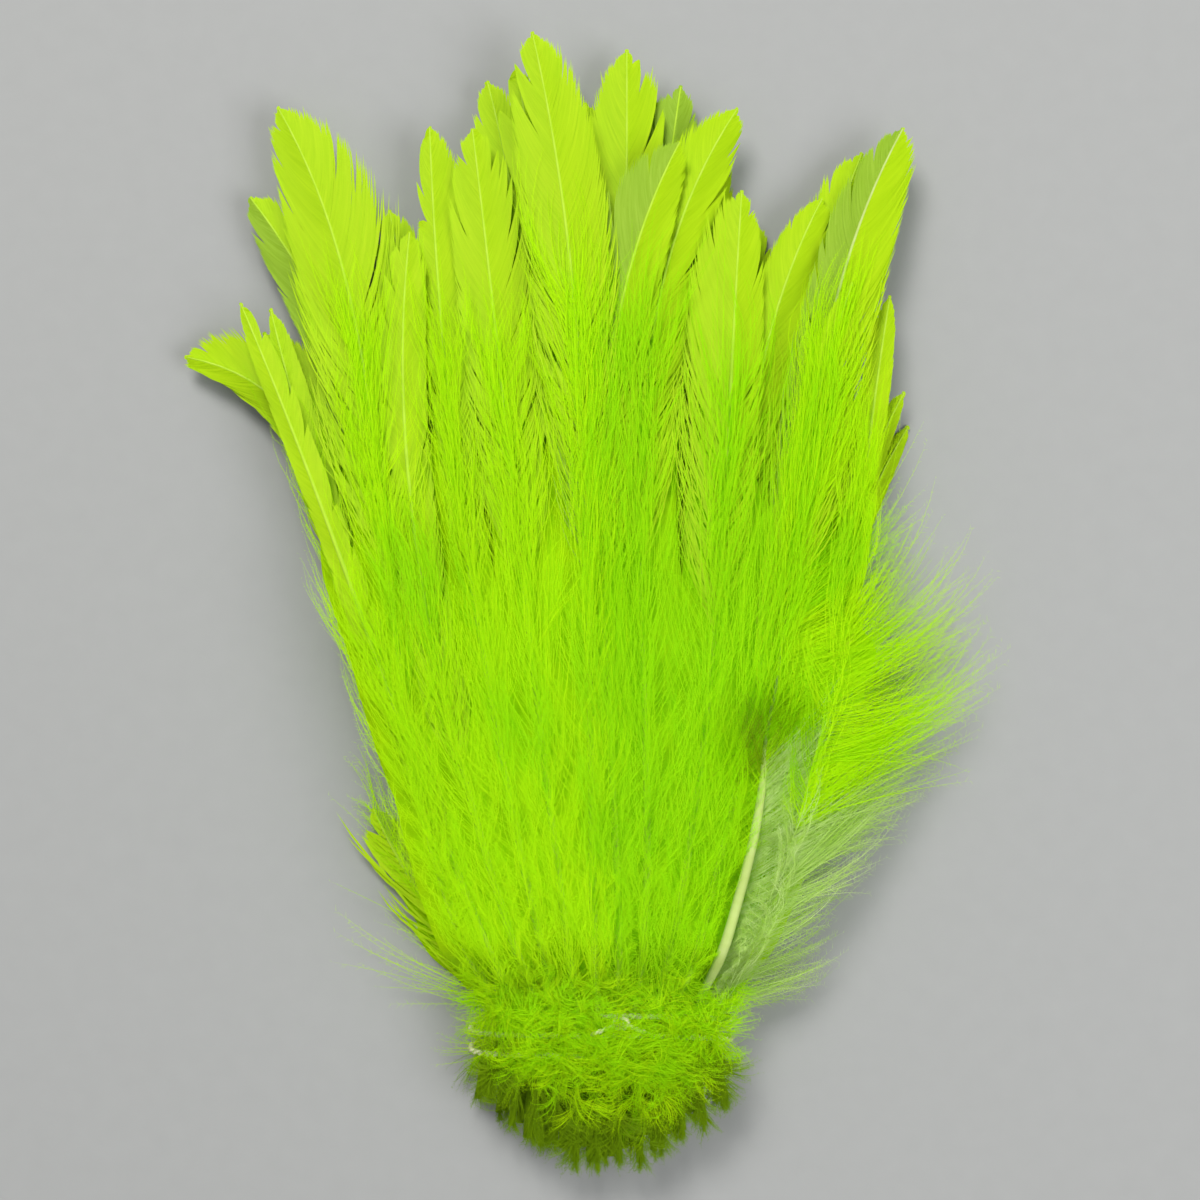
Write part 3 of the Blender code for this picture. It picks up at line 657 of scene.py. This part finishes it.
def add_vane(mesh, feather, side, spacing, random):
    """The firm barbs of one side of the vane, with their tips on the vane's outline."""
    key = feather.keys[side]
    half_width = feather.widths[side]
    low, high = feather.down_end - VANE_OVERLAP, feather.length
    tips = np.linspace(low, high, OUTLINE_POINTS)
    near_tip = smooth(mix(low, high, NEAR_TIP), high, tips)
    first = mix(VANE_ANGLES_DEG[0], VANE_TIP_ANGLES_DEG[0], near_tip)
    last = mix(VANE_ANGLES_DEG[1], VANE_TIP_ANGLES_DEG[1], near_tip)
    reach = half_width * feather.vane_share(tips)
    root_of = np.maximum.accumulate(tips - reach / np.tan(np.radians((first + last) / 2)))
    foot = low - reach[0]
    if key in COMBED:
        spacing = COMB_SPACING * spacing
    amount = int((high - foot) / spacing)
    roots = np.linspace(foot, high - TIP_MARGINS[0], amount)
    roots = roots + random.uniform(-ROOT_SHIFT, ROOT_SHIFT, amount) * spacing
    roots = np.clip(roots, foot, high - TIP_MARGINS[1])
    loose = 1 - smooth(feather.down_end - LOOSE_BELOW, mix(feather.down_end, high, LOOSE_SHARE), roots)
    ends = np.interp(roots, root_of + np.arange(OUTLINE_POINTS) * TINY, tips)
    spread = FIRM_SPREAD_DEG + LOOSE_SPREAD_DEG * loose
    first = np.interp(ends, tips, first) + random.normal(0, 1, amount) * spread - LOOSE_TURN_DEG[0] * loose
    last = np.interp(ends, tips, last) + random.normal(0, 1, amount) * spread - LOOSE_TURN_DEG[1] * loose
    uneven = FIRM_REACH_SPREAD + LOOSE_REACH_SPREAD * loose
    reach = half_width * feather.vane_share(ends) * (1 + uneven * random.uniform(*REACH_RANGE, amount))
    middle = np.radians(np.clip((first + last) / 2, *VANE_ANGLE_LIMITS_DEG))
    lengths = np.minimum(np.maximum(reach, TIP_RADIUS) / np.sin(middle), LONGEST_VANE_BARB)
    lengths = lengths * (1 + LOOSE_LENGTH_SPREAD * loose * random.uniform(-1, 1, amount))
    plan, outward = swept(feather, roots, side, lengths, first, last, VANE_STEPS)
    pull = FRAYED_PULL if key in FRAYED or key in COMBED else SPLIT_PULL
    plan = drawn_together(plan, grouped(roots, SPLIT_MM, random), pull, random)
    t = np.linspace(0, 1, VANE_STEPS + 1)
    droop = SLOPES.get(key, VANE_SLOPE) * (1 - np.exp(-outward / VANE_SLOPE_WIDTH))
    layer = (np.arange(amount) % LAYERS - 1)[:, None] * LAYER_STEP
    lift = (loose * random.uniform(0, LOOSE_LIFT, amount))[:, None] * np.sin(t * math.pi * LOOSE_ARCH)
    wave = RUFFLE * np.sin(roots / RUFFLE_LENGTH + feather.rank)[:, None] * outward / half_width
    z = feather.level(plan) - droop + layer + lift + wave + VANE_LIFT
    paths = raised(plan, z, VANE_LOWEST)
    taper = mix(1.0, BARB_END_SHARE, t**VANE_TAPER) * (1 - LOOSE_THINNING * loose)[:, None]
    half = VANE_BARB_WIDTH * min(spacing, WIDEST_SPACING) / 2 * taper
    uneven = random.normal(0, ROLL_SPREAD_DEG, (amount, 1)) * (1 + LOOSE_ROLL * loose[:, None])
    roll = VANE_ROLL_DEG * (1 - VANE_ROLL_FADE * t) * side + uneven
    u, v = along_map(feather, roots), across_map(side, amount, VANE_STEPS)
    # These sides take the duller underside colour, which is also darker as painted shade
    material = "underside_with_shade" if key in UNDERSIDES_WITH_SHADE else "vane"
    materials = np.full(amount, NUMBERS[material])
    mesh.ribbons(paths, sideways(paths, roll), half, u, v, materials, soft_normals(paths, VANE_LEAN))


def add_ground(mesh, feather, random):
    """A soft ground along the shaft, under the down."""
    low, high = GROUND_FROM, feather.down_end + DOWN_BEYOND
    distances = np.linspace(low, high, GROUND_STEPS)
    place, ahead = feather.at(distances)
    across = rightward(ahead)
    share = np.linspace(-1, 1, GROUND_SIDES)
    most = mix(*GROUND_REACHES, smooth(*GROUND_WIDENS, distances))
    reaches = [GROUND_SHARE * feather.down_reach(side, distances) for side in (-1, 1)]
    left, right = (np.minimum(reach, most) for reach in reaches)
    left = left * (distances > BARE_QUILLS.get(feather.name, 0.0))
    wide = np.where(share < 0, left[:, None], right[:, None]) * share
    wide = wide * mix(GROUND_FOOT_SHARE, 1.0, smooth(low, low + GROUND_FOOT, distances))[:, None]
    wide = wide * (1 - smooth(feather.down_end + GROUND_NARROWS, high, distances))[:, None]
    plan = place[:, None] + across[:, None] * wide[..., None]
    pale = distances < PALE_TO.get(feather.name, 0.0)
    z = feather.level(plan) - GROUND_DEPTH - GROUND_DROOP * share**2 - PALE_GROUND_DEPTH * pale[:, None]
    z = z + random.uniform(-GROUND_ROUGHNESS, GROUND_ROUGHNESS, z.shape)
    points = raised(plan, z, DOWN_LOWEST).reshape(-1, 3)
    u = np.repeat(along_map(feather, distances), GROUND_SIDES)
    v = np.tile(mix(MAP_SIDES[-1][0], MAP_SIDES[1][1], (share + 1) / 2), GROUND_STEPS)
    i, j = np.meshgrid(np.arange(GROUND_STEPS - 1), np.arange(GROUND_SIDES - 1), indexing="ij")
    a = (i * GROUND_SIDES + j).ravel()
    b = a + GROUND_SIDES
    triangles = np.concatenate((np.stack((a, a + 1, b + 1), 1), np.stack((a, b + 1, b), 1)))
    materials = np.where(np.tile(pale[i.ravel()], 2), NUMBERS["cuff_down"], feather.plain_down)
    mesh.add(points, np.stack((u, v), -1), triangles, materials)


def add_soft_barbs(mesh, paths, roll, maps, materials, lean, barbules, hair, random):
    """Thin soft barbs along paths, each with barbules."""
    t = np.linspace(0, 1, paths.shape[1])
    half = np.repeat((DOWN_BARB_WIDTH / 2 * (1 - DOWN_TAPER * t))[None], len(paths), 0)
    normals = soft_normals(paths, lean)
    mesh.ribbons(paths, sideways(paths, roll), half, *maps, materials, normals)
    mesh.barbules(paths, barbules, hair, *maps, random, materials, normals)


def add_down(mesh, feather, side, spacing, barbules, lifts, random):
    """The long soft barbs of one side below the vane, each with barbules."""
    low, high = SKIRT_START - DOWN_BELOW, feather.down_end + DOWN_BEYOND
    bare_to = BARE_QUILLS.get(feather.name, 0.0)
    spacing = spacing / (1 + WIDE_DENSER[feather.row] * smooth(WIDE_FROM, WIDE_TO, feather.reaches[side]))
    amount = int((high - low) / spacing)
    roots = np.linspace(low, high, amount) + random.uniform(-0.5, 0.5, amount) * spacing
    if side == feather.outward:
        roots = roots[(roots > SPARSE_TO) | (random.uniform(size=amount) < SPARSE_SHARE)]
        amount = len(roots)
    reach = feather.down_reach(side, roots)
    wide = smooth(WIDE_FROM, WIDE_TO, reach)
    low_down = (1 - smooth(LOW_DOWN_FROM, LOW_DOWN_TO, roots)) * (1 - wide)
    first = DOWN_ANGLES_DEG[0] + WIDE_DOWN_TURN_DEG[0] * wide + LOW_DOWN_TURN_DEG[0] * low_down
    last = DOWN_ANGLES_DEG[1] + WIDE_DOWN_TURN_DEG[1] * wide + LOW_DOWN_TURN_DEG[1] * low_down
    tufts = grouped(roots, TUFT_MM, random)
    turned = random.normal(0, TUFT_TURN_DEG, tufts.max() + 1)[tufts]
    first = first + turned + random.normal(0, BARB_TURN_DEG, amount)
    last = last + turned + random.normal(0, BARB_TURN_DEG, amount) * (1 + WIDE_SPREAD * wide)
    middle = np.radians(np.clip((first + last) / 2, *DOWN_ANGLE_LIMITS_DEG))
    lengths = reach * random.uniform(*DOWN_LENGTH_SPREAD, amount) / np.sin(middle)
    crosses = (random.uniform(size=amount) < CROSSING_SHARE * (1 - wide)) & (roots > bare_to)
    first = np.where(crosses, -random.uniform(*CROSSING_FIRST_DEG, amount), first)
    last = np.where(crosses, random.uniform(*CROSSING_LAST_DEG, amount), last)
    lengths = np.minimum(lengths, LONGEST_DOWN_BARB)
    lengths = np.where(crosses, random.uniform(*CROSSING_LENGTHS, amount), lengths)
    pale = (roots < PALE_TO.get(feather.name, 0.0)) & (side > 0 or bool(feather.outward))
    lengths = lengths * (1 - LOW_DOWN_SHORTER * low_down) * np.where(pale, PALE_LENGTH, 1.0)
    plan, _ = swept(feather, roots, side, lengths, first, last, DOWN_STEPS)
    plan = drawn_together(plan, tufts, TUFT_PULL * (1 - WIDE_LOOSER * wide), random)
    t = np.linspace(0, 1, DOWN_STEPS + 1)
    swing, turns = random.uniform(-1, 1, (2, tufts.max() + 1))[:, tufts, None]
    swing = TUFT_SWING * swing + random.normal(0, BARB_SWING, (amount, 1))
    plan[..., 0] += swing * np.sin(t * (SWING_TURN + turns)) * t
    lift = random.uniform(*lifts, tufts.max() + 1)[tufts] + random.normal(0, BARB_LIFT_SPREAD, amount)
    lift = lift + feather.radius(roots) * ROOT_RISE
    lift = np.where(roots < bare_to, BARE_RIGHT_SHARE * lift if side > 0 else BARE_LEFT_LIFT, lift)
    base = feather.level(plan)
    if feather.on_top:
        surface = height(SURFACE_RANK, plan) - hollows(plan)[0]
        base = mix(base, surface, smooth(0.0, SURFACE_SHARE, t) * (1 - wide[:, None]))
    droop = OUTER_DROOP if feather.outward else INNER_DROOP
    base = base * (1 - droop * wide[:, None] * t**2)
    z = base + lift[:, None] * np.sin(DOWN_ARCH[0] + t * math.pi * DOWN_ARCH[1])
    paths = raised(plan, z, DOWN_LOWEST)
    roll = random.uniform(-DOWN_ROLL_DEG, DOWN_ROLL_DEG, (amount, 1)) * np.ones_like(t)
    maps = along_map(feather, roots), across_map(side, amount, DOWN_STEPS)
    # Barbs that end in a hollow get painted shade: deeper green, and the dark shaded down in the deepest
    sunk = hollows(plan[:, HOLLOW_POINT])[0]
    materials = np.where(sunk > HOLLOW_SHADE_FROM, NUMBERS["deep_down_and_shade"], feather.plain_down)
    materials = np.where(sunk > HOLLOW_DARK_SHADE_FROM, NUMBERS["shaded_down"], materials)
    materials = np.where(pale, NUMBERS["white_down"], materials)
    hair = mix(*BARBULE_LENGTHS, smooth(BARBULES_SHORTEN_FROM, feather.down_end, roots))
    hair = hair * (1 + WIDE_HAIR * wide)
    add_soft_barbs(mesh, paths, roll, maps, materials, DOWN_LEAN, barbules, hair, random)


def add_cuff(mesh, feather, tufts, random):
    """Curled tufts of short trimmed down round the stub, the string and the foot of the quill."""
    top = CUFF_TOP if feather.on_top else 0.0
    root = random.uniform(-feather.stub, top, tufts)
    from_cut = root + feather.stub
    most = np.radians(mix(*CUFF_TURNS_DEG, smooth(*CUFF_TURNS_OVER, from_cut)))
    turn = random.uniform(-1, 1, tufts) * most
    if feather.outward:
        outward = random.uniform(size=tufts) < CUFF_OUTWARD_SHARE
        turn = np.where(outward, np.abs(turn), turn) * feather.outward
    curl = np.radians(random.uniform(*CUFF_CURL_DEG, tufts)) * np.sign(random.uniform(-1, 1, tufts))
    curl = curl * smooth(0.0, CUFF_CURL_TO, from_cut)
    lift = random.uniform(*CUFF_LIFTS[feather.row], tufts) * smooth(0.0, CUFF_LIFT_TO, from_cut)
    lift = lift + CUFF_END_LIFT * (1 - smooth(*CUFF_END_OVER, from_cut))
    if feather.on_top:
        over = random.uniform(size=tufts) < TIE_TUFTS
        root = np.where(over, random.uniform(TIE_TUFTS_FROM, TIE_TUFTS_TO, tufts), root)
        from_cut = root + feather.stub
        turn = np.where(over, random.uniform(-math.pi, math.pi, tufts), turn)
        lift = np.where(over, random.uniform(*TIE_TUFTS_LIFT, tufts), lift)
    length = CUFF_LENGTH * random.uniform(*CUFF_LENGTH_SPREAD, tufts)
    length = np.minimum(length, CUFF_CUT_LENGTH + CUFF_GROWTH * from_cut)
    group = np.repeat(np.arange(tufts), TUFT_BARBS)
    amount = len(group)
    roots = root[group] + random.normal(0, CUFF_ROOT_SPREAD, amount)
    roots = np.clip(roots, CUFF_MARGIN - feather.stub, top)
    place, ahead = feather.at(roots)
    across = rightward(ahead)
    t = np.linspace(0, 1, CUFF_STEPS + 1)
    middle = (t[1:] + t[:-1]) / 2
    angle = turn[group] + random.normal(0, CUFF_TURN_SPREAD, amount)
    angle = angle[:, None] + curl[group][:, None] * middle
    way = across[:, None] * np.sin(angle)[..., None] - ahead[:, None] * np.cos(angle)[..., None]
    lengths = length[group] * random.uniform(*CUFF_BARB_SPREAD, amount)
    run = np.pad(np.cumsum(way, 1), ((0, 0), (1, 0), (0, 0))) * (lengths / CUFF_STEPS)[:, None, None]
    plan = place[:, None] + run
    rise = lift[group] + random.normal(0, CUFF_RISE_SPREAD, amount)
    z = feather.level(plan) + rise[:, None] * np.sin(np.minimum(t * CUFF_ARCH[0], CUFF_ARCH[1]))
    paths = raised(plan, z, DOWN_LOWEST)
    roll = random.uniform(-DOWN_ROLL_DEG, DOWN_ROLL_DEG, (amount, 1)) * np.ones_like(t)
    maps = along_map(feather, roots), across_map(1, amount, CUFF_STEPS)
    shaded = from_cut[group] < SHADED_END
    deep = (random.uniform(size=tufts) < DEEP_TUFTS)[group]
    materials = np.where(deep, NUMBERS["deep_down_and_shade"], NUMBERS["cuff_down"])
    materials = np.where(shaded, NUMBERS["shaded_down"], materials)
    hair = np.full(amount, CUFF_HAIR)
    add_soft_barbs(mesh, paths, roll, maps, materials, CUFF_LEAN, CUFF_BARBULES, hair, random)


def add_quill(mesh, feather):
    """The shaft, from the stub's cut end to the tip."""
    stub = np.linspace(-feather.stub, 0, STUB_STATIONS)
    place, _ = feather.at(stub)
    radii = feather.radius(stub)
    path = raised(place, feather.level(place), radii)
    # The stub takes the dark shaded down's colour, painted shade where it lies in the cuff's low end
    mesh.tube(path, radii, QUILL_SIDES, along_map(feather, stub), NUMBERS["shaded_down"])
    along = np.linspace(HELD, feather.length, SHAFT_STATIONS)
    distances = np.concatenate(((-QUILL_OVERLAP, 0.0), along))
    place, _ = feather.at(distances)
    rises = feather.down_end - SHAFT_RISES[0], feather.down_end + SHAFT_RISES[1]
    lift = -SHAFT_DEPTH * smooth(*SHAFT_SINKS, distances) * (1 - smooth(*rises, distances)) + SHAFT_LIFT
    radii = feather.radius(distances)
    if feather.name in BARE_QUILLS:
        bare_to = BARE_QUILLS[feather.name]
        bare = 1 - smooth(bare_to - BARE_FADE, bare_to + BARE_FADE, distances)
        bare = bare * smooth(RISE_START, RISE_END, distances)
        lift = lift + (BARE_QUILL_LIFT + SHAFT_DEPTH) * bare
        radii = radii * mix(1.0, BARE_QUILL_GROWTH, bare)
    path = raised(place, feather.level(place) + lift, radii)
    material = "pale_shaft" if feather.name in BARE_QUILLS else "shaft"
    mesh.tube(path, radii, QUILL_SIDES, along_map(feather, distances), NUMBERS[material])


def make_feather(feather, growth, materials, shift):
    """One feather's piece, which stands for its solid."""
    spacing, down_spacing, barbules, lifts, tufts = growth
    random = np.random.default_rng([feather.row, feather.rank, round(10 * feather.length)])
    mesh = Mesh()
    add_quill(mesh, feather)
    add_ground(mesh, feather, random)
    for side in (-1, 1):
        add_vane(mesh, feather, side, spacing, random)
        add_down(mesh, feather, side, down_spacing, barbules, lifts, random)
    add_cuff(mesh, feather, tufts, random)
    piece = mesh.object(f"{feather.name}_barbs", materials, shift)
    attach(piece, "root")
    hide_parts(feather.name)


def string_route():
    """Points of the string's axis: a flat coil round all the quills, from the top down the tie."""
    top = tie_height(len(ROWS) - 1) + QUILL_RADIUS + GAP + STRING_DIAMETER / 2
    bottom = tie_height(0) - QUILL_RADIUS - GAP - STRING_DIAMETER / 2
    turned = np.linspace(0, 2 * math.pi * STRING_TURNS, STRING_POINTS)
    s, c = np.sin(turned), np.cos(turned)
    x = TIE_X + STRING_HALF_WIDTH * np.sign(s) * np.abs(s) ** (2 / STRING_CORNER)
    z = (top + bottom) / 2 + (top - bottom) / 2 * np.sign(c) * np.abs(c) ** (2 / STRING_CORNER)
    y = TIE_Y + STRING_SPREAD * (0.5 - np.linspace(0, 1, STRING_POINTS))
    return np.stack((x, y, z), -1)


def evenly(path, step):
    """The same path with points a step apart, and how far along it each lies."""
    run = np.cumsum(np.linalg.norm(np.diff(path, axis=0, prepend=path[:1]), axis=1))
    where = np.linspace(0, run[-1], max(int(run[-1] / step), 3))
    return np.stack([np.interp(where, run, path[:, k]) for k in range(3)], -1), where


def add_thread(mesh, path, radius, u_low, u_high):
    """Two plies twisted round each other along a path."""
    points, where = evenly(path, THREAD_STEP)
    ahead = unit(np.gradient(points, axis=0))
    across = unit(np.cross(ahead, np.array(THREAD_UP)))
    rise = np.cross(across, ahead)
    u = mix(u_low, u_high, where / where[-1])
    for ply in (0, 1):
        turn = where * 2 * math.pi / PLY_LAY + ply * math.pi
        away = across * np.cos(turn)[:, None] + rise * np.sin(turn)[:, None]
        radii = np.full(len(points), radius * PLY_RADIUS)
        mesh.tube(points + away * radius * PLY_OFFSET, radii, PLY_SIDES, u, 0)


def make_string(material, shift):
    """The string: its coil round the quills, a knot wound of the same thread, and two short tails."""
    mesh = Mesh()
    radius = STRING_DIAMETER / 2
    route = string_route()
    add_thread(mesh, route, radius, *COIL_MAP)
    centre = np.array((KNOT_X, KNOT_Y, route[0, 2] + KNOT_SINK * KNOT_RADIUS))
    turn = np.linspace(0, 2 * KNOT_LOOPS * math.pi, KNOT_POINTS)
    wound = np.stack((np.cos(turn), np.sin(turn), np.sin(turn / KNOT_LOOPS)), -1) * KNOT_WOUND
    add_thread(mesh, centre + wound * KNOT_RADIUS, radius * KNOT_THREAD, *KNOT_MAP)
    for tail_deg in TAILS_DEG:
        away = np.array((math.cos(math.radians(tail_deg)), math.sin(math.radians(tail_deg)), TAIL_SLOPE))
        ends = centre + away * np.linspace(0, TAIL_LENGTH, TAIL_POINTS)[:, None]
        add_thread(mesh, ends, radius * TAIL_THREAD, *TAIL_MAP)
    piece = mesh.object("string_thread", (material,), shift)
    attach(piece, "root")
    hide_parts("string")


def node(tree, kind, x, y, **settings):
    """A shader node at a place in the tree, with its settings."""
    made = tree.nodes.new(kind)
    made.location = (x, y)
    for key, value in settings.items():
        setattr(made, key, value)
    return made


def patterned(name, dark, light, scale, contrast, roughness, clear):
    """A material whose colour varies from dark to light along the map, and that lets light through."""
    material = bpy.data.materials.new(name)
    material.use_nodes = True
    tree = material.node_tree
    shader = tree.nodes["Principled BSDF"]
    shader.inputs["Roughness"].default_value = roughness
    shader.inputs["Specular IOR Level"].default_value = SPECULAR
    uv = node(tree, "ShaderNodeUVMap", -1300, 0, uv_map=UV_NAME)
    place = node(tree, "ShaderNodeMapping", -1100, 0)
    place.inputs["Scale"].default_value = scale
    noise = node(tree, "ShaderNodeTexNoise", -900, 0)
    noise.inputs["Scale"].default_value = 1.0
    noise.inputs["Detail"].default_value = PATTERN_DETAIL
    reach = node(tree, "ShaderNodeMapRange", -700, 0)
    reach.inputs["From Min"].default_value = 0.5 - contrast
    reach.inputs["From Max"].default_value = 0.5 + contrast
    colour = node(tree, "ShaderNodeMix", -500, 0, data_type="RGBA")
    colour.inputs["A"].default_value = (*dark, 1.0)
    colour.inputs["B"].default_value = (*light, 1.0)
    links = tree.links
    links.new(uv.outputs["UV"], place.inputs["Vector"])
    links.new(place.outputs["Vector"], noise.inputs["Vector"])
    links.new(noise.outputs["Fac"], reach.inputs["Value"])
    links.new(reach.outputs["Result"], colour.inputs["Factor"])
    links.new(colour.outputs["Result"], shader.inputs["Base Color"])
    if clear:
        through = node(tree, "ShaderNodeBsdfTranslucent", -200, -300)
        both = node(tree, "ShaderNodeMixShader", 100, 0)
        both.inputs["Fac"].default_value = clear
        links.new(colour.outputs["Result"], through.inputs["Color"])
        links.new(shader.outputs["BSDF"], both.inputs[1])
        links.new(through.outputs["BSDF"], both.inputs[2])
        links.new(both.outputs["Shader"], tree.nodes["Material Output"].inputs["Surface"])
    return material


def make_floor():
    """A plain floor at the height of the lowest feather."""
    bpy.ops.mesh.primitive_plane_add(size=FLOOR_SIZE, location=(0, 0, CAD_BOX[0].z))
    floor = bpy.context.object
    floor.name = "floor"
    material = bpy.data.materials.new("paper")
    material.use_nodes = True
    tree = material.node_tree
    shader = tree.nodes["Principled BSDF"]
    shader.inputs["Roughness"].default_value = PAPER_ROUGHNESS
    grain = node(tree, "ShaderNodeTexNoise", -700, 0)
    grain.inputs["Scale"].default_value = PAPER_GRAIN
    colour = node(tree, "ShaderNodeMix", -400, 0, data_type="RGBA")
    colour.inputs["A"].default_value = PAPER_DARK
    colour.inputs["B"].default_value = PAPER_LIGHT
    tree.links.new(grain.outputs["Fac"], colour.inputs["Factor"])
    tree.links.new(colour.outputs["Result"], shader.inputs["Base Color"])
    floor.data.materials.append(material)


def area_light(name, place, target, size, watts, colour):
    """A soft square light at a place, turned to a target."""
    data = bpy.data.lights.new(name, "AREA")
    data.size = size
    data.energy = watts
    data.color = colour
    made = bpy.data.objects.new(name, data)
    made.location = place
    made.rotation_euler = (Vector(target) - Vector(place)).to_track_quat("-Z", "Y").to_euler()
    bpy.context.scene.collection.objects.link(made)


def make_light():
    """Soft light from above the tips and a little left, a weaker one on the right, and a pale sky."""
    for settings in LIGHTS:
        area_light(*settings)
    world = bpy.data.worlds.new("sky")
    world.use_nodes = True
    world.node_tree.nodes["Background"].inputs["Color"].default_value = SKY_COLOUR
    world.node_tree.nodes["Background"].inputs["Strength"].default_value = SKY_STRENGTH
    bpy.context.scene.world = world


def make_camera(shift):
    """Looks straight down, as the photo does."""
    data = bpy.data.cameras.new("camera")
    data.lens = LENS
    data.sensor_width = SENSOR
    camera = bpy.data.objects.new("camera", data)
    camera.location = (shift[0] + VIEW_RIGHT, shift[1], VIEW_HEIGHT + VIEW_WIDTH / SENSOR * LENS)
    bpy.context.scene.collection.objects.link(camera)
    bpy.context.scene.camera = camera


def main():
    """Every piece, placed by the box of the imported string, then the floor, the light and the camera."""
    low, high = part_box("string")
    shift = np.array(((low[0] + high[0]) / 2 - TIE_X * MM, (low[1] + high[1]) / 2 - TIE_Y * MM, 0.0))
    materials = [patterned(*dye) for dye in DYES]
    for row, (label, shapes, *growth) in enumerate(ROWS):
        for column, shape in enumerate(shapes):
            feather = Feather(f"{label}_feather_{column + 1:02d}", row, column, shape)
            make_feather(feather, growth, materials, shift)
    make_string(patterned(*COTTON), shift)
    make_floor()
    make_light()
    make_camera(shift)
    bpy.context.scene.view_settings.view_transform = "Standard"


main()
